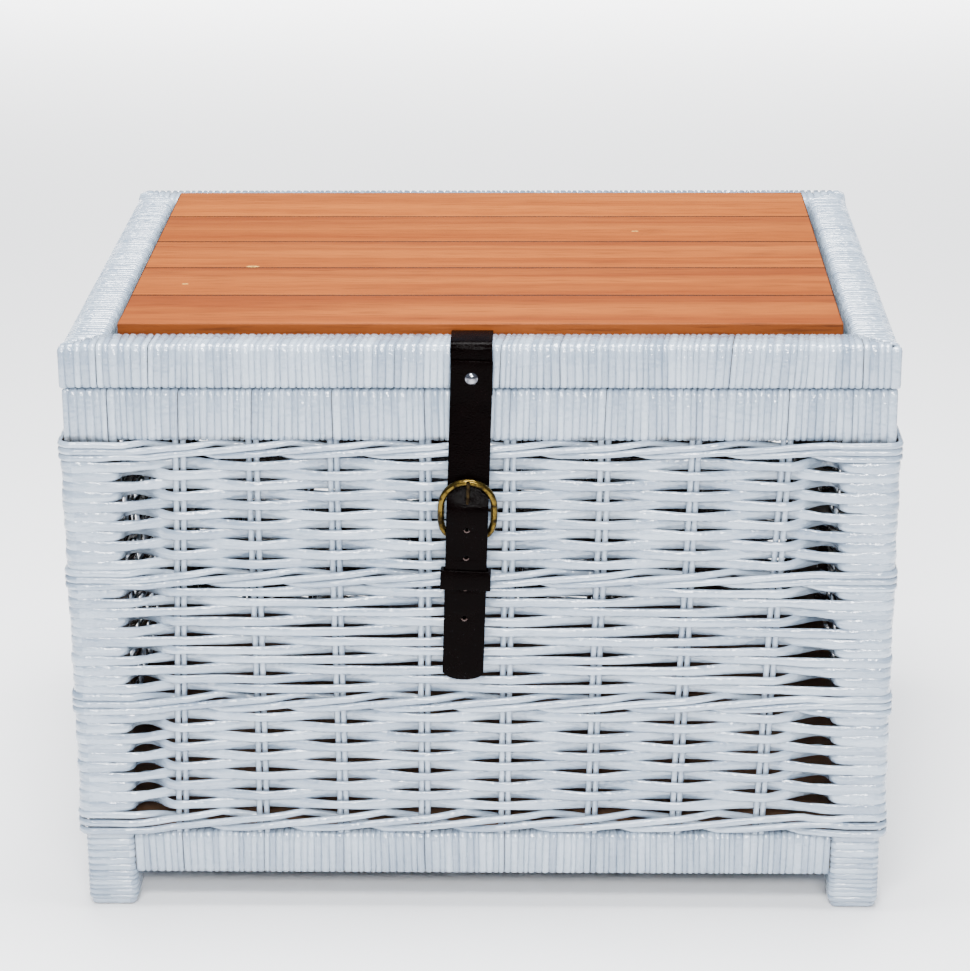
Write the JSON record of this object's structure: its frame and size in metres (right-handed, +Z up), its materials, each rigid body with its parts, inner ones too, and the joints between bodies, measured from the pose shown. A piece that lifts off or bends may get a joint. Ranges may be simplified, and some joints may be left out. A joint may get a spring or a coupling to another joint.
{
  "type": "wicker storage trunk",
  "caption": "Rectangular wicker trunk on short legs, cane-bound frame and woven walls, with a hinged slatted wood lid fastened by a leather strap and buckle.",
  "frame": {"origin": "on the floor under the middle of the whole object, strap and hinges included", "axes": "+X along the long side to the right seen from the front, +Y from the strap side to the hinge side, +Z up"},
  "size_m": [0.605, 0.4881, 0.45],
  "materials": {
    "bound_cane": "round cane bound close, glossy white enamel",
    "woven_cane": "flat-oval cane, woven and sprayed with white enamel",
    "stake_cane": "round cane rods under white enamel",
    "frame_wood": "planed softwood, sprayed white",
    "base_board": "plywood, stained dark",
    "slat_wood": "reddish hardwood, oiled",
    "strap_leather": "very dark brown, glazed",
    "rivet_chrome": "polished",
    "buckle_brass": "antique brass",
    "prong_metal": "antique brass, darkened",
    "hinge_steel": "steel butt hinge under white enamel"
  },
  "bodies": {
    "trunk": {"base_bearer": "frame_wood", "base_panel": "base_board", "body_strap": "strap_leather", "body_strap_rivet": "rivet_chrome", "bottom_rail_bindings": "bound_cane", "bottom_rail_front": "frame_wood", "bottom_rail_left": "frame_wood", "bottom_rail_rear": "frame_wood", "bottom_rail_right": "frame_wood", "hinge_body_screws": "hinge_steel", "hinge_fixed_leaves": "hinge_steel", "hinge_pins": "hinge_steel", "leg_bindings": "bound_cane", "post_front_left": "frame_wood", "post_front_right": "frame_wood", "post_rear_left": "frame_wood", "post_rear_right": "frame_wood", "stakes_front": "stake_cane", "stakes_left": "stake_cane", "stakes_rear": "stake_cane", "stakes_right": "stake_cane", "top_rail_binding_front": "bound_cane", "top_rail_binding_left": "bound_cane", "top_rail_binding_rear": "bound_cane", "top_rail_binding_right": "bound_cane", "top_rail_front": "frame_wood", "top_rail_left": "frame_wood", "top_rail_rear": "frame_wood", "top_rail_right": "frame_wood", "wale_bottom": "woven_cane", "wale_lower": "woven_cane", "wale_top": "woven_cane", "wale_upper": "woven_cane", "weave_lower": "woven_cane", "weave_middle": "woven_cane", "weave_upper": "woven_cane"},
    "lid": {"hinge_lid_leaves": "hinge_steel", "hinge_lid_screws": "hinge_steel", "lid_batten_left": "frame_wood", "lid_batten_right": "frame_wood", "lid_batten_screws": "hinge_steel", "lid_binding_front": "bound_cane", "lid_binding_left": "bound_cane", "lid_binding_rear": "bound_cane", "lid_binding_right": "bound_cane", "lid_rail_front": "frame_wood", "lid_rail_left": "frame_wood", "lid_rail_rear": "frame_wood", "lid_rail_right": "frame_wood", "lid_slat_1": "slat_wood", "lid_slat_2": "slat_wood", "lid_slat_3": "slat_wood", "lid_slat_4": "slat_wood", "lid_slat_5": "slat_wood", "strap_rivet": "rivet_chrome", "strap_tab": "strap_leather"},
    "strap": {"lid_strap": "strap_leather"},
    "buckle": {"buckle_frame": "buckle_brass"},
    "prong": {"buckle_prong": "prong_metal"},
    "keeper": {"strap_keeper": "strap_leather"}
  },
  "joints": [
    {"name": "lid_hinge", "type": "hinge", "parent": "trunk", "child": "lid", "pos_m": [0, 0.2406, 0.41075], "axis": [-1, 0, 0], "range_deg": [0, 105]},
    {"name": "strap_swing", "type": "hinge", "parent": "lid", "child": "strap", "pos_m": [-0.00525, -0.2281, 0.40801], "axis": [-0.9994, 0, 0.0349], "range_deg": [0, 60], "deforming": ["lid_strap"]},
    {"name": "buckle_flip", "type": "hinge", "parent": "trunk", "child": "buckle", "pos_m": [-0.00902, -0.232, 0.30007], "axis": [0.9994, 0, -0.0349], "range_deg": [0, 80]},
    {"name": "prong_flip", "type": "hinge", "parent": "buckle", "child": "prong", "pos_m": [-0.00902, -0.232, 0.30007], "axis": [0.9994, 0, -0.0349], "range_deg": [0, 30]},
    {"name": "keeper_slide", "type": "slide", "parent": "trunk", "child": "keeper", "axis": [0.0349, 0, 0.9994], "range_m": [0, 0.012]}
  ]
}
